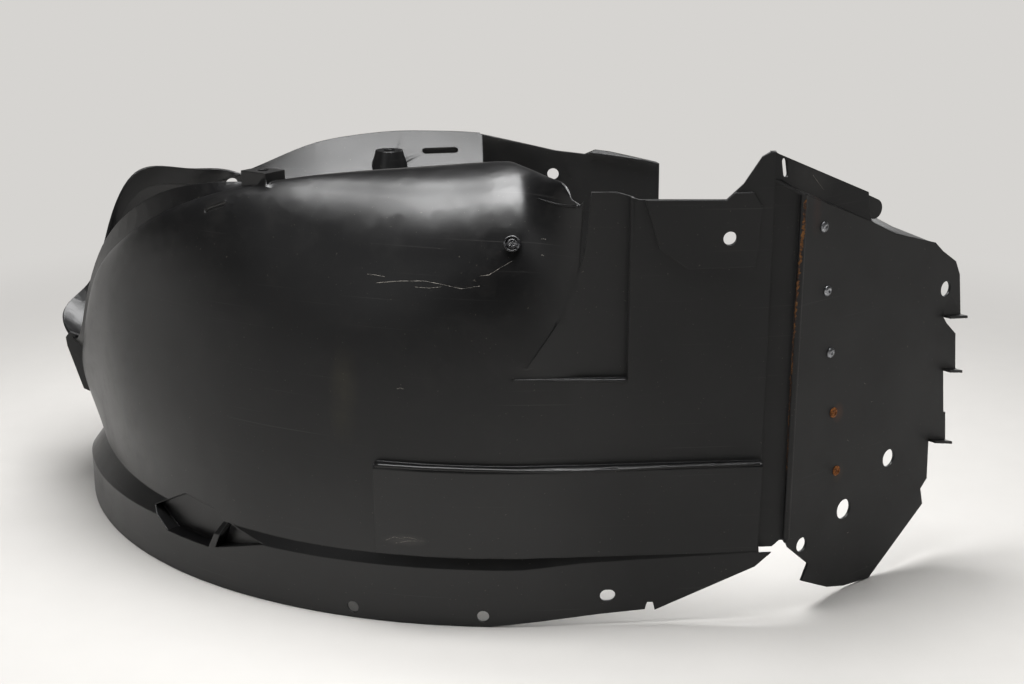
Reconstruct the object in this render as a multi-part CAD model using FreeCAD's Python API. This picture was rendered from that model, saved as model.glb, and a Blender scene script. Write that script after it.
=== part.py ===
import FreeCAD, Part
import math
import os

# Front wheel-arch liner of a car: a thin black moulding, lying on its outboard lip.
# X runs along the near leg, Y from the near leg to the far leg, Z from the lip to the inboard side.
# Millimetres and degrees.

os.makedirs("parts", exist_ok=True)
Vec = FreeCAD.Vector
UP = Vec(0, 0, 1)

# Sheet and plan of the lip, followed from the fold at the end plate round to the far end
wall = 2.5
fold_corner = Vec(248, 22, 0)
panel_heading = 184.9
panel_length = 215
panel_seam = 0.87
arch_radius = 480
arch_turn = 77.3
crown_radius = 170
crown_turn = 85.6
far_radius = 1000
far_turn = 32

# Heights of the shell
crest_height = 402
panel_top = 386
panel_peak = 426
far_crest_height = 366
notch_height = 152

# Lip flange and its fixing holes
lip_height = 55
lip_hole_diameter = 11
lip_hole_height = 10
lip_hole_places = (-145, -26)
lip_slot_place = 86
lip_slot_height = 28
lip_slot_length = 14

# Proud lower panel under the long ledge
ledge_height = 152
ledge_depth = 9
ledge_left = -122
ledge_right = 221

# Tapered pocket in the near wall
pocket_floor = 230
pocket_left = 0
pocket_right = 100
pocket_depth = 6
pocket_top = panel_top + 20

# Pockets on the corner and lug on the crown
corner_pocket = 15
lug_thickness = 5

# Raised pad and hole in the flat panel
pad_proud = 2
panel_hole_diameter = 12
panel_hole_place = (185, 353)

# End plate turned back at the fold, beyond a shallow channel
fold_channel = 26
fold_top = 390
plate_turn = 39
plate_holes = ((80, 83, 19.5), (143, 119, 17.5), (22, 63, 14), (213, 274, 15))
tab_return = 8
rivet_top = (28, 358)
rivet_bottom = (65, 125)
rivet_count = 5
rusted_count = 2

# Blind rivets
rivet_shank_diameter = 4.8
rivet_head_diameter = 9.5
rivet_head_height = 2.4
rivet_tail_diameter = 6.6
rivet_tail_length = 5
rivet_mandrel_diameter = 2.6
rivet_mandrel_depth = 0.9
rivet_clearance = 0.2
rivet_hole_diameter = rivet_shank_diameter + rivet_clearance

# Backing strip behind the end plate
backing_sheet = 1.5
backing_width = 26
backing_past_rivets = 10

# Slots in the shoulder, the upper strip and the far web, and holes in the far wall
shoulder_slot_place = (-306, 49.6, 356)
shoulder_slot_length = 24
shoulder_slot_width = 5
strip_slot_place = 17
strip_slot_length = 16
strip_slot_width = 6
web_slot_place = 62
web_slot_inset = 48
web_slot_height = 342
web_slot_length = 43
web_slot_width = 9
far_holes = ((51, 309.5, 14), (-340, 309, 15))

# Hollow boss on the far web, fixing pad on the near crest
boss_place = (-155.5, 62)
boss_top_height = 348
boss_top_diameter = 32
boss_foot_diameter = 60
boss_foot_height = 300
boss_hole_diameter = 15
pad_place = (-282, 87.5)
pad_length = 31
pad_width = 26
pad_top = 388
pad_height = 18
pad_hole_diameter = 11

# Push plug in the near shoulder
plug_place = (0, 343)
plug_head_diameter = 15
plug_head_height = 2.2
plug_stem_diameter = 7.6
plug_stem_length = 9
plug_clearance = 0.4
plug_hole_diameter = plug_stem_diameter + plug_clearance
plug_lift = 1.7


def direction(heading):
    angle = math.radians(heading)
    return Vec(math.cos(angle), math.sin(angle), 0)


def inward(heading):
    return direction(heading - 90)


def plan_segments():
    """Start point, start heading, radius and turn of each stretch of the lip; the panel is straight."""
    panel_end = fold_corner + direction(panel_heading) * panel_length
    segments = {"panel": (fold_corner, panel_heading, None, 0)}
    start = panel_end
    heading = panel_heading
    for name, radius, turn in (
        ("arch", arch_radius, arch_turn),
        ("crown", crown_radius, crown_turn),
        ("far", far_radius, far_turn),
    ):
        segments[name] = (start, heading, radius, turn)
        centre = start + inward(heading) * radius
        heading = heading - turn
        start = centre - inward(heading) * radius
    return segments


SEGMENTS = plan_segments()


def station(name, fraction):
    """Point of the lip's outer face in plan, and its heading, part way along a stretch."""
    start, heading, radius, turn = SEGMENTS[name]
    if radius is None:
        return start + direction(heading) * (panel_length * fraction), heading
    turned = heading - turn * fraction
    return start + inward(heading) * radius - inward(turned) * radius, turned


# Key sections along the lip. Each gives: lip height, depth of the set-back band above the lip,
# inset and height of the crest, outward belly of the flank, then inset and rise of the last strip,
# which is the web on the legs, the stiffening flange at the notch and the flare at the crown.
# The last value keeps the flank upright for longer before it turns over to the crest.
PANEL_KEYS = (
    ("panel", 0.00, 66, 4, 5, panel_peak + 16, 0, 1, 5, 1),
    ("panel", panel_seam, 60, 4, 8, panel_top + 8, 0, 8, 1, 1),
)
ARCH_KEYS = (
    ("arch", 0.038, lip_height, 4, 128, crest_height + 1, 0, 80, -30, 1.5),
    ("arch", 0.20, lip_height, 4, 136, crest_height - 7, 0, 85, -35, 1.25),
    ("arch", 0.32, lip_height, 4, 128, crest_height - 12, 0, 80, -30, 1.1),
    ("arch", 0.44, lip_height, 5, 100, crest_height - 18, 0, 50, -14, 1),
    ("arch", 0.56, 52, 8, 68, crest_height - 32, 2, 10, 6, 1),
    ("arch", 0.68, 49, 11, 46, crest_height - 57, 6, 7, 20, 1),
    ("arch", 0.79, 47, 14, 27, 308, 10, 6, 26, 1),
    ("arch", 0.89, 45, 16, 14, 262, 10, 4, 24, 1),
    ("arch", 0.97, 45, 16, 6, 199, 12, -2, 17, 1),
    ("crown", 0.13, 45, 15, 0, notch_height, 14, -14, 15, 1),
    ("crown", 0.27, 45, 13, -2, notch_height + 14, 14, -31, 22, 1),
    ("crown", 0.37, 46, 11, 0, notch_height + 44, 10, -16, 16, 1),
    ("crown", 0.46, 47, 9, 4, 256, 3, -2, 22, 1),
    ("crown", 0.60, 48, 6, 16, 310, 0, 2, 24, 1),
    ("crown", 0.74, 50, 5, 24, 318, 0, 4, 20, 1),
    ("crown", 0.90, 50, 4, 26, 314, 0, 4, 18, 1),
    ("far", 0.04, 50, 4, 26, 318, 0, 6, 10, 1),
    ("far", 0.24, 50, 4, 22, far_crest_height - 12, 0, 84, -64, 1),
    ("far", 0.42, 50, 4, 22, far_crest_height - 1, 0, 88, -68, 1),
    ("far", 0.56, 50, 4, 22, far_crest_height - 3, 0, 88, -68, 1),
    ("far", 0.78, 50, 4, 20, far_crest_height - 20, 0, 70, -50, 1),
    ("far", 1.00, 50, 4, 18, far_crest_height - 34, 0, 50, -34, 1),
)
FLANK_ANGLES = (0, 18, 36, 54, 72, 90)
BAND_RISE = 6
BAND_SLOPE = 0.9
SECTION_SPACING = 45
TURN_STEPS = 5


def reach(name, fraction):
    """Length of lip from the fold to a station."""
    lengths = {"panel": panel_length}
    for stretch in ("arch", "crown", "far"):
        radius, turn = SEGMENTS[stretch][2:]
        lengths[stretch] = radius * math.radians(turn)
    before = 0
    for stretch, length in lengths.items():
        if stretch == name:
            return before + length * fraction
        before = before + length
    raise ValueError(name)


def station_at(distance):
    """Stretch and fraction of a length of lip measured from the fold."""
    for name in ("panel", "arch", "crown", "far"):
        first = reach(name, 0)
        last = reach(name, 1)
        if distance <= last or name == "far":
            return name, (distance - first) / (last - first)


def smooth_between(places, values, place):
    """Cubic through the values that never overshoots them."""
    steps = [b - a for a, b in zip(places, places[1:])]
    rates = [(b - a) / step for a, b, step in zip(values, values[1:], steps)]
    slopes = [rates[0]]
    for first, second in zip(rates, rates[1:]):
        slopes.append(0 if first * second <= 0 else 2 * first * second / (first + second))
    slopes.append(rates[-1])
    index = 0
    while index < len(steps) - 1 and place > places[index + 1]:
        index = index + 1
    t = (place - places[index]) / steps[index]
    rise = values[index + 1] - values[index]
    a = slopes[index] * steps[index] - rise
    b = rise - slopes[index + 1] * steps[index]
    return values[index] + t * rise + t * (1 - t) * (a * (1 - t) + b * t)


def blended_keys(keys):
    """Sections at the keys, and between them where they lie far apart, that pass smoothly from key to key."""
    places = [reach(key[0], key[1]) for key in keys]
    stops = places[:1]
    for first, last in zip(places, places[1:]):
        count = max(1, round((last - first) / SECTION_SPACING))
        stops = stops + [first + (last - first) * (number + 1) / count for number in range(count)]
    sections = []
    for place in stops:
        sizes = [
            smooth_between(places, [key[column] for key in keys], place)
            for column in range(2, len(keys[0]))
        ]
        sections.append(station_at(place) + tuple(sizes))
    return sections


def straight_keys(first, last, count):
    """Sections that pass evenly from one key section over to another."""
    start = reach(*first[:2])
    run = reach(*last[:2]) - start
    sections = []
    for number in range(count + 1):
        t = number / count
        sizes = [a + (b - a) * t for a, b in zip(first[2:], last[2:])]
        sections.append(station_at(start + run * t) + tuple(sizes))
    return sections


def outer_profile(key):
    """Inset and height of the outer face of one section, from the lip's foot to the last edge."""
    lip, band, crest_inset, crest, belly, edge_inset, edge_rise, upright = key[2:]
    band_top = lip + BAND_RISE + BAND_SLOPE * band
    points = [(0, 0), (0, lip)]
    for angle in FLANK_ANGLES:
        turn = math.radians(angle)
        inset = band + (crest_inset - band) * (1 - math.cos(turn)) ** upright - belly * math.sin(2 * turn)
        height = band_top + (crest - band_top) * math.sin(turn)
        points.append((inset, height))
    points.append((crest_inset + edge_inset, crest + edge_rise))
    return points


def offset_profile(points, depth):
    """The same profile moved inwards by the sheet's thickness, mitred at its corners."""
    normals = []
    for first, second in zip(points, points[1:]):
        run = second[0] - first[0]
        rise = second[1] - first[1]
        length = math.hypot(run, rise)
        normals.append((rise / length, -run / length))
    moved = []
    for index, point in enumerate(points):
        before = normals[max(index - 1, 0)]
        after = normals[min(index, len(normals) - 1)]
        across = (before[0] + after[0], before[1] + after[1])
        scale = 2 * depth / (across[0] ** 2 + across[1] ** 2)
        moved.append((point[0] + across[0] * scale, point[1] + across[1] * scale))
    return moved


def section_wire(key):
    """Closed wire of one thin section of the shell, standing on the lip at its station."""
    origin, heading = station(key[0], key[1])
    into = inward(heading)
    outer = outer_profile(key)
    inner = offset_profile(outer, wall)
    inner[0] = (inner[0][0], outer[0][1])
    outside = [origin + into * u + UP * z for u, z in outer]
    inside = [origin + into * u + UP * z for u, z in inner]

    def strip(points):
        flank = Part.BSplineCurve()
        knots = [angle / 90 for angle in FLANK_ANGLES]
        flank.interpolate(Points=points[2:8], Parameters=knots)
        return [
            Part.LineSegment(points[0], points[1]).toShape(),
            Part.LineSegment(points[1], points[2]).toShape(),
            flank.toShape(),
            Part.LineSegment(points[7], points[8]).toShape(),
        ]

    top = Part.LineSegment(outside[8], inside[8]).toShape()
    foot = Part.LineSegment(inside[0], outside[0]).toShape()
    back = strip(inside)
    back.reverse()
    return Part.Wire(Part.__sortEdges__(strip(outside) + [top] + back + [foot]))


def prism(points, depth):
    """Solid of a flat closed outline of points, pushed along a vector."""
    return Part.Face(Part.makePolygon(points + [points[0]])).extrude(depth)


def rod(centre, axis, diameter, length):
    """Cylinder of the given length, centred on a point."""
    return Part.makeCylinder(diameter / 2, length, centre - axis * (length / 2), axis)


def slot(start, end, axis, width, depth):
    """Long hole with round ends between two points, cut along an axis."""
    side = (end - start).cross(axis).normalize() * (width / 2)
    low = axis * (-depth / 2)
    bar = prism([start + side + low, end + side + low, end - side + low, start - side + low], axis * depth)
    return bar.fuse([rod(start, axis, width, depth), rod(end, axis, width, depth)])


def lip_ring(corners, first, last, steps):
    """Bar that follows the lip between two places, with a closed outline of inset and height."""
    wires = []
    for step in range(steps + 1):
        origin, heading = station(*station_at(first + (last - first) * step / steps))
        into = inward(heading)
        points = [origin + into * u + UP * z for u, z in corners]
        wires.append(Part.makePolygon(points + [points[0]]))
    return Part.makeLoft(wires, True, True)


def lip_distance(x, first, last):
    """Length of lip from the fold to the place at this X, looked for between two places."""
    low = first
    high = last
    rising = station(*station_at(last))[0].x > station(*station_at(first))[0].x
    for _ in range(40):
        middle = (low + high) / 2
        beyond = station(*station_at(middle))[0].x > x
        if beyond == rising:
            high = middle
        else:
            low = middle
    return low


def near_distance(x):
    return lip_distance(x, 0, reach("arch", 1))


def far_distance(x):
    return lip_distance(x, reach("crown", 0.5), reach("far", 1))


def near_place(x, inset, height):
    """Point over the near leg, by X on the lip, inset and height, with the heading there."""
    origin, heading = station(*station_at(near_distance(x)))
    return origin + inward(heading) * inset + UP * height, heading


def far_place(x, inset, height):
    """Point over the far leg, by X on the lip, inset and height, with the heading there."""
    origin, heading = station(*station_at(far_distance(x)))
    return origin + inward(heading) * inset + UP * height, heading


def panel_point(along, inset, height):
    """Point of the flat panel's frame: along it from the fold, inwards and up."""
    return fold_corner + direction(panel_heading) * along + inward(panel_heading) * inset + UP * height


def plate_point(along, height, inset=0):
    """Point of the end plate's frame: along it from the fold, up, and inwards from its outer face."""
    return plate_origin + plate_along * along + plate_into * inset + UP * height


def wall_face(x, z):
    """Outer face of the near wall, found along Y."""
    probe = Part.makeLine(Vec(x, -60, z), Vec(x, 260, z)).common(shell)
    return min(vertex.Y for vertex in probe.Vertexes)


def wall_normal(x, z):
    """Outward normal of the near wall, from three points of its face."""
    step = 6
    here = Vec(x, wall_face(x, z), z)
    side = Vec(x + step, wall_face(x + step, z), z)
    above = Vec(x, wall_face(x, z + step), z + step)
    normal = (side - here).cross(above - here)
    return here, normal.normalize()


# Shell: the arch, the turn out of the shoulder and the flat panel are lofted in three stretches
arch = Part.makeLoft([section_wire(key) for key in blended_keys(ARCH_KEYS)], True, False)
turn_keys = straight_keys(PANEL_KEYS[1], ARCH_KEYS[0], TURN_STEPS)
turn = Part.makeLoft([section_wire(key) for key in turn_keys], True, False)
panel = Part.makeLoft([section_wire(key) for key in PANEL_KEYS], True, True)
seams = [station(*key[:2]) for key in (PANEL_KEYS[1], ARCH_KEYS[0])]


def on_seam(face):
    flat = isinstance(face.Surface, Part.Plane)
    middle = face.CenterOfMass
    return flat and any(abs((middle - point).dot(direction(heading))) < 1 for point, heading in seams)


sheet_faces = [face for solid in (arch, turn, panel) for face in solid.Faces if not on_seam(face)]
skin = Part.Compound(sheet_faces)
skin.sewShape(0.05)
shell = Part.makeSolid(skin.Shells[0])

# Proud lower panel: the wall steps out under a long ledge, and stays one sheet thick
LEDGE_FOOT = 66
proud_face = 5 - ledge_depth
proud_start = near_distance(ledge_right)
proud_end = near_distance(ledge_left)
proud = lip_ring(
    ((0.5, LEDGE_FOOT), (proud_face, ledge_height - 4), (proud_face + 1.5, ledge_height),
     (8, ledge_height), (8, LEDGE_FOOT)),
    proud_start, proud_end, 8,
)
hollow = lip_ring(
    ((0.5 + wall, LEDGE_FOOT + 6), (proud_face + wall, ledge_height - wall - 2),
     (14, ledge_height - wall - 2), (14, LEDGE_FOOT + 6)),
    proud_start + wall, proud_end - wall, 8,
)
shell = shell.fuse(proud).cut(hollow)

# Tapered pocket pressed into the wall, open at the top, over a floor that deepens towards the right
pocket_start = wall_face(pocket_left, pocket_floor)
pocket_end = wall_face(pocket_right, pocket_floor)
POCKET_CLEAR = 40


def pocket_point(x, z, deeper=0):
    """Point of the pocket's back."""
    part_way = (x - pocket_left) / (pocket_right - pocket_left)
    y = pocket_start + (pocket_end + pocket_depth - pocket_start) * part_way
    return Vec(x, y + deeper, z)


def pocket_side(x):
    corners = [pocket_point(x, pocket_floor), pocket_point(x, pocket_top)]
    front = [Vec(x, corner.y - POCKET_CLEAR, corner.z) for corner in reversed(corners)]
    return Part.makePolygon(corners + front + corners[:1])


pocket_back_outline = (
    (6, pocket_floor), (44, 286), (62, 340), (68, pocket_top), (pocket_right, pocket_top),
    (pocket_right, pocket_floor),
)
pocket_back = prism([pocket_point(*corner) for corner in pocket_back_outline], Vec(0, wall, 0))
floor_outline = [pocket_point(x, pocket_floor, wall) for x in (pocket_left, pocket_right + wall)]
for x in (pocket_right + wall, 60, 40, 20):
    floor_outline.append(Vec(x, wall_face(x, pocket_floor) + wall / 2, pocket_floor))
pocket_floor_sheet = prism(floor_outline, UP * -wall)
side_heights = (pocket_floor - wall, pocket_top)
side_outline = [pocket_point(pocket_right, z, wall) for z in side_heights]
side_outline = side_outline + [Vec(pocket_right, pocket_end + wall / 2, z) for z in reversed(side_heights)]
pocket_side_sheet = prism(side_outline, Vec(wall, 0, 0))
pocket_cut = Part.makeLoft([pocket_side(pocket_left), pocket_side(pocket_right)], True, True)
shell = shell.fuse([pocket_back, pocket_floor_sheet, pocket_side_sheet]).cut(pocket_cut)

# Raised pad round the hole of the flat panel
PAD_OUTLINE = ((138, 392), (123, 345), (98, 327), (40, 328), (36, 380), (44, 392))
pad_inset = 4.5 - pad_proud
pad_corners = [panel_point(along, pad_inset, z) for along, z in PAD_OUTLINE]
shell = shell.fuse(prism(pad_corners, inward(panel_heading) * (wall + pad_proud)))

# Shallow channel beside the fold
CHANNEL_DEPTH = 5
channel_floor = 4.5 + CHANNEL_DEPTH
channel_top = panel_peak + 20
channel_block = prism(
    [panel_point(along, 5.5, LEDGE_FOOT) for along in (0.5, fold_channel + wall)]
    + [panel_point(along, channel_floor + wall, LEDGE_FOOT) for along in (fold_channel + wall, 0.5)],
    UP * (channel_top - LEDGE_FOOT),
)
channel_cut = prism(
    [panel_point(along, -5, LEDGE_FOOT - 2) for along in (wall, fold_channel)]
    + [panel_point(along, channel_floor, LEDGE_FOOT - 2) for along in (fold_channel, wall)],
    UP * (channel_top - LEDGE_FOOT + 4),
)
shell = shell.fuse(channel_block).cut(channel_cut)

# Straight end of the shoulder, where the rounded flank stops and the flat panel begins
TRIM = 80
panel_end = panel_point(panel_length, 0, 0)
wedge_back = panel_end + Vec(-25, 127, crest_height)
wedge_front = panel_end + Vec(24, 6, panel_top - 4)
wedge_depth = Vec(0, 300, 0)
wedge = prism([wedge_back, wedge_front, wedge_front + wedge_depth, wedge_back + wedge_depth], UP * TRIM)
shell = shell.cut(wedge)

# Stepped top edge of the flat panel, up to the peak beside the channel
left = wedge_front.x
peak_end = fold_corner.x - fold_channel
panel_edge = (
    (left, panel_top - 4), (left + 7, panel_top + 7), (left + 30, panel_top + 7), (left + 49, panel_top + 1),
    (peak_end - 41, panel_top), (peak_end - 27, panel_top + 13), (peak_end - 12, panel_peak - 4),
    (peak_end - 5, panel_peak), (peak_end, panel_peak), (peak_end, panel_peak - 21),
    (fold_corner.x, fold_top), (fold_corner.x + 20, fold_top),
    (fold_corner.x + 20, panel_peak + TRIM), (left, panel_peak + TRIM),
)
shell = shell.cut(prism([Vec(x, -TRIM / 2, z) for x, z in panel_edge], Vec(0, TRIM + 40, 0)))

# Foot of the lip, rising towards the end plate, with a small notch
lip_foot = (
    (-20, -1), (-20, 0), (79, 10), (120, 13), (122, 20), (127, 20), (129, 12), (fold_corner.x - 29, 51),
    (fold_corner.x - 6, 72), (fold_corner.x + 20, 72), (fold_corner.x + 20, -1),
)
shell = shell.cut(prism([Vec(x, -40, z) for x, z in lip_foot], Vec(0, TRIM + 40, 0)))

# Far leg: past the boss the web is cut back to a curled edge
web_cut = lip_ring(((24, 200), (24, 420), (160, 420), (160, 200)), far_distance(-37), reach("far", 1.05), 8)
shell = shell.cut(web_cut)

# Stepped top edge of the far wall past the web
far_end = station("far", 1)[0]
far_edge = (
    (-221, -6), (-129, -27), (-93, -31), (-78, -24), (-7, -39), (5, -45), (18, -45), (18, 40), (-221, 40),
)
far_outline = [far_end + Vec(x, -60, far_crest_height + z) for x, z in far_edge]
shell = shell.cut(prism(far_outline, Vec(0, 110, 0)))

# Two pressed pockets low on the corner, side by side across the top of the lip
corner_distance = near_distance(-318)
corner_origin, corner_heading = station(*station_at(corner_distance))
CORNER_POCKETS = (
    ((52, 56), (3, 80), (-45, 75), (-52, 66), (-37, 38), (25, 38)),
    ((-58, 66), (-104, 56), (-46, 40)),
)


def corner_point(along, z, inset):
    return corner_origin + direction(corner_heading) * along + inward(corner_heading) * inset + UP * z


outside = lip_ring(
    ((-40, 20), (0.9, 20), (0.9, 49), (11, 67), (11, 100), (-40, 100)),
    corner_distance - 130, corner_distance + 80, 8,
)
for outline in CORNER_POCKETS:
    middle_along = sum(along for along, z in outline) / len(outline)
    middle_z = sum(z for along, z in outline) / len(outline)
    rim = [(along + (along - middle_along) * 0.1, z + (z - middle_z) * 0.16) for along, z in outline]
    backing_outline = [corner_point(along, z, 0) for along, z in rim]
    backing = prism(backing_outline, inward(corner_heading) * (corner_pocket + wall))
    recess_outline = [corner_point(along, z, -40) for along, z in outline]
    recess = prism(recess_outline, inward(corner_heading) * (corner_pocket + 40))
    shell = shell.fuse(backing.cut(outside)).cut(recess)

# Standing lug on the crown, under the flare
lug_origin, lug_heading = station("crown", 0.13)
LUG_OUTLINE = ((-2, 104), (6, 108), (20, 158), (21, 168), (16, 174), (-2, 166))
lug_points = [lug_origin - inward(lug_heading) * out + UP * z for out, z in LUG_OUTLINE]
shell = shell.fuse(prism(lug_points, direction(lug_heading) * lug_thickness))

# End plate, folded back from the channel, with a bead along the fold
plate_along = direction(plate_turn)
plate_into = direction(plate_turn + 90)
plate_origin = panel_point(0, 5, 0)
FOLD_FOOT = 74
PLATE_OUTLINE = (
    (0, fold_top), (92, 355), (128, 339), (191, 322), (204, 312), (226, 299), (234, 285),
    (241, 242), (213, 246), (219, 239), (235, 226), (240, 187), (220, 191), (226, 146),
    (229, 147), (233, 115), (205, 122), (207, 83), (198, 74), (203, 57), (125, 0), (87, 3),
    (62, 9), (25, 26), (33, 41), (4, 65), (0, FOLD_FOOT),
)
plate = prism([plate_point(along, z) for along, z in PLATE_OUTLINE], plate_into * wall)
fold_bead = Part.makeCylinder(3.2, fold_top - FOLD_FOOT, panel_point(0, 7, FOLD_FOOT), UP)

# Turned-out feet of the three tabs at the plate's free edge
TAB_FEET = (((213, 246), (241, 242)), ((220, 191), (240, 187)), ((205, 122), (233, 115)))
tab_feet = []
for first, second in TAB_FEET:
    lower = [plate_point(*first, wall / 2), plate_point(*second, wall / 2)]
    upper = [corner + UP * wall for corner in reversed(lower)]
    tab_feet.append(prism(lower + upper, plate_into * -(tab_return + wall / 2)))

# Upper strip across the fold from the wall's peak to the plate, on a small gusset
STRIP_RISE = 25
STRIP_LEAN = 6
strip_start = panel_point(fold_channel + 2, 5, panel_peak - 21)
strip_end = plate_point(93, 355)
strip_run = (strip_end - strip_start).normalize()
strip_into = Vec(-strip_run.y, strip_run.x, 0).normalize()
strip_up = UP * STRIP_RISE + strip_into * STRIP_LEAN
strip_foot = [strip_start - UP * wall, strip_end - UP * wall]
strip = prism(strip_foot + [strip_end + strip_up, strip_start + strip_up], strip_into * wall)
gusset_back = [strip_end + strip_into * wall, strip_start + strip_into * wall]
gusset = prism([panel_point(0, 5, fold_top)] + gusset_back, UP * -wall)
shell = shell.fuse([plate, fold_bead, strip, gusset] + tab_feet)

# Rounded tab behind the free end of the strip
TAB_LENGTH = 36
TAB_HEIGHT = 18
tab_middle = strip_end + strip_up * 0.5 + strip_into * (wall * 1.5)
tab_half = strip_run * ((TAB_LENGTH - TAB_HEIGHT) / 2)
shell = shell.fuse(slot(tab_middle - tab_half, tab_middle + tab_half, strip_into, TAB_HEIGHT, wall))

# Hollow boss on the far web, seated on the slope of the web
boss_foot, boss_heading = far_place(*boss_place, boss_foot_height)
web_crest, boss_heading = far_place(boss_place[0], 22, far_crest_height - 1)
web_fall = Vec(0, 0, -68) + inward(boss_heading) * 88
web_fall = web_fall.normalize()
web_normal = direction(boss_heading).cross(web_fall).normalize()
if web_normal.z < 0:
    web_normal = web_normal * -1
web_middle = web_crest - web_normal * (wall / 2)
web_corners = ((-90, -40), (90, -40), (90, 120), (-90, 120))
web_outline = [web_middle + direction(boss_heading) * a + web_fall * b for a, b in web_corners]
above_web = prism(web_outline, web_normal * 120)
boss_height = boss_top_height - boss_foot_height
foot_radius = boss_foot_diameter / 2
top_radius = boss_top_diameter / 2
boss = Part.makeCone(foot_radius, top_radius, boss_height, boss_foot, UP)
boss_inside = Part.makeCone(foot_radius - wall, top_radius - wall, boss_height, boss_foot - UP * wall, UP)
shell = shell.fuse(boss.common(above_web)).cut(boss_inside)

# Fixing pad on the near crest, hollow below
pad_middle, pad_heading = near_place(*pad_place, pad_top)


def pad_box(length, width, top, height):
    corners = ((-1, -1), (1, -1), (1, 1), (-1, 1))
    foot = pad_middle + UP * (top - pad_top - height)
    along = direction(pad_heading) * (length / 2)
    across = inward(pad_heading) * (width / 2)
    return prism([foot + along * a + across * b for a, b in corners], UP * height)


crest_pad = pad_box(pad_length, pad_width, pad_top, pad_height)
crest_pad_inside = pad_box(pad_length - 2 * wall, pad_width - 2 * wall, pad_top - wall, pad_height + 6)
shell = shell.fuse(crest_pad).cut(crest_pad_inside)

# Holes
THROUGH = 60
rivet_places = []
for number in range(rivet_count):
    part_way = number / (rivet_count - 1)
    rivet_places.append(tuple(a + (b - a) * part_way for a, b in zip(rivet_top, rivet_bottom)))
holes = [rod(plate_point(along, z), plate_into, size, 14) for along, z, size in plate_holes]
holes = holes + [rod(plate_point(along, z), plate_into, rivet_hole_diameter, 14) for along, z in rivet_places]
for x in lip_hole_places:
    origin, heading = station(*station_at(near_distance(x)))
    holes.append(rod(origin + UP * lip_hole_height, inward(heading), lip_hole_diameter, 30))
origin, heading = station(*station_at(near_distance(lip_slot_place)))
slot_middle = origin + UP * lip_slot_height
slot_half = direction(heading) * ((lip_slot_length - lip_hole_diameter) / 2)
holes.append(slot(slot_middle - slot_half, slot_middle + slot_half, inward(heading), lip_hole_diameter, 30))
slot_middle = strip_start + strip_run * strip_slot_place + strip_up * 0.5
slot_half = UP * ((strip_slot_length - strip_slot_width) / 2)
holes.append(slot(slot_middle - slot_half, slot_middle + slot_half, strip_into, strip_slot_width, 20))
slot_middle, heading = near_place(*shoulder_slot_place)
slot_half = (direction(heading) * -8 + inward(heading) * 3 + UP * 3.2).normalize()
slot_half = slot_half * ((shoulder_slot_length - shoulder_slot_width) / 2)
slot_axis = (UP * 0.65 - inward(heading) * 0.76).normalize()
holes.append(slot(slot_middle - slot_half, slot_middle + slot_half, slot_axis, shoulder_slot_width, 24))
slot_middle, heading = far_place(boss_place[0], web_slot_inset, web_slot_height)
slot_middle = slot_middle + direction(heading) * web_slot_place
slot_half = direction(heading) * ((web_slot_length - web_slot_width) / 2)
holes.append(slot(slot_middle - slot_half, slot_middle + slot_half, web_normal, web_slot_width, 40))
for x, z, diameter in far_holes:
    middle, heading = far_place(x, 15, z)
    holes.append(rod(middle, inward(heading), diameter, THROUGH))
panel_hole_x, panel_hole_z = panel_hole_place
panel_hole_middle = Vec(panel_hole_x, wall_face(panel_hole_x, panel_hole_z), panel_hole_z)
holes.append(rod(panel_hole_middle, inward(panel_heading), panel_hole_diameter, 30))
holes.append(rod(boss_foot + UP * boss_height, UP, boss_hole_diameter, 20))
holes.append(rod(pad_middle, UP, pad_hole_diameter, 20))
plug_point, plug_axis = wall_normal(*plug_place)
holes.append(rod(plug_point, plug_axis, plug_hole_diameter, 24))
shell = shell.cut(holes)

# Backing strip along the rivets, against the plate's inner face
rivet_fall = Vec(rivet_bottom[0] - rivet_top[0], rivet_bottom[1] - rivet_top[1], 0).normalize()
rivet_across = Vec(-rivet_fall.y, rivet_fall.x, 0)
first = Vec(*rivet_top, 0) - rivet_fall * backing_past_rivets
last = Vec(*rivet_bottom, 0) + rivet_fall * backing_past_rivets
half = rivet_across * (backing_width / 2)
backing_corners = [first - half, first + half, last + half, last - half]
backing_strip = prism([plate_point(c.x, c.y, wall) for c in backing_corners], plate_into * backing_sheet)
backing_strip = backing_strip.cut(
    [rod(plate_point(along, z), plate_into, rivet_hole_diameter, 20) for along, z in rivet_places]
)


# Blind rivets: a low head on the plate, a shank through both sheets and a bulb behind
def rivet(along, z):
    seat = plate_point(along, z)
    behind = plate_point(along, z, wall + backing_sheet)
    out = plate_into * -1
    head_radius = rivet_head_diameter / 2
    rim = Part.makeCylinder(head_radius, rivet_head_height / 3, seat, out)
    dome = Part.makeCone(
        head_radius, head_radius * 0.55, rivet_head_height * 2 / 3, seat + out * (rivet_head_height / 3), out
    )
    shank_radius = rivet_shank_diameter / 2
    shank = Part.makeCylinder(shank_radius, wall + backing_sheet + 1, seat, plate_into)
    bulb = Part.makeCone(rivet_tail_diameter / 2, shank_radius, rivet_tail_length, behind, plate_into)
    mandrel_hole = Part.makeCylinder(
        rivet_mandrel_diameter / 2, rivet_mandrel_depth, seat + out * rivet_head_height, plate_into
    )
    return rim.fuse([dome, shank, bulb]).cut(mandrel_hole).removeSplitter()


rivets = [rivet(along, z) for along, z in rivet_places]

# Push plug: a flat round head over its hole, on a short stem
plug_seat = plug_point + plug_axis * plug_lift
plug_head = Part.makeCylinder(plug_head_diameter / 2, plug_head_height, plug_seat, plug_axis)
plug_stem = Part.makeCylinder(plug_stem_diameter / 2, plug_stem_length, plug_seat, plug_axis * -1)
push_plug = plug_head.fuse(plug_stem).removeSplitter()

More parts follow.
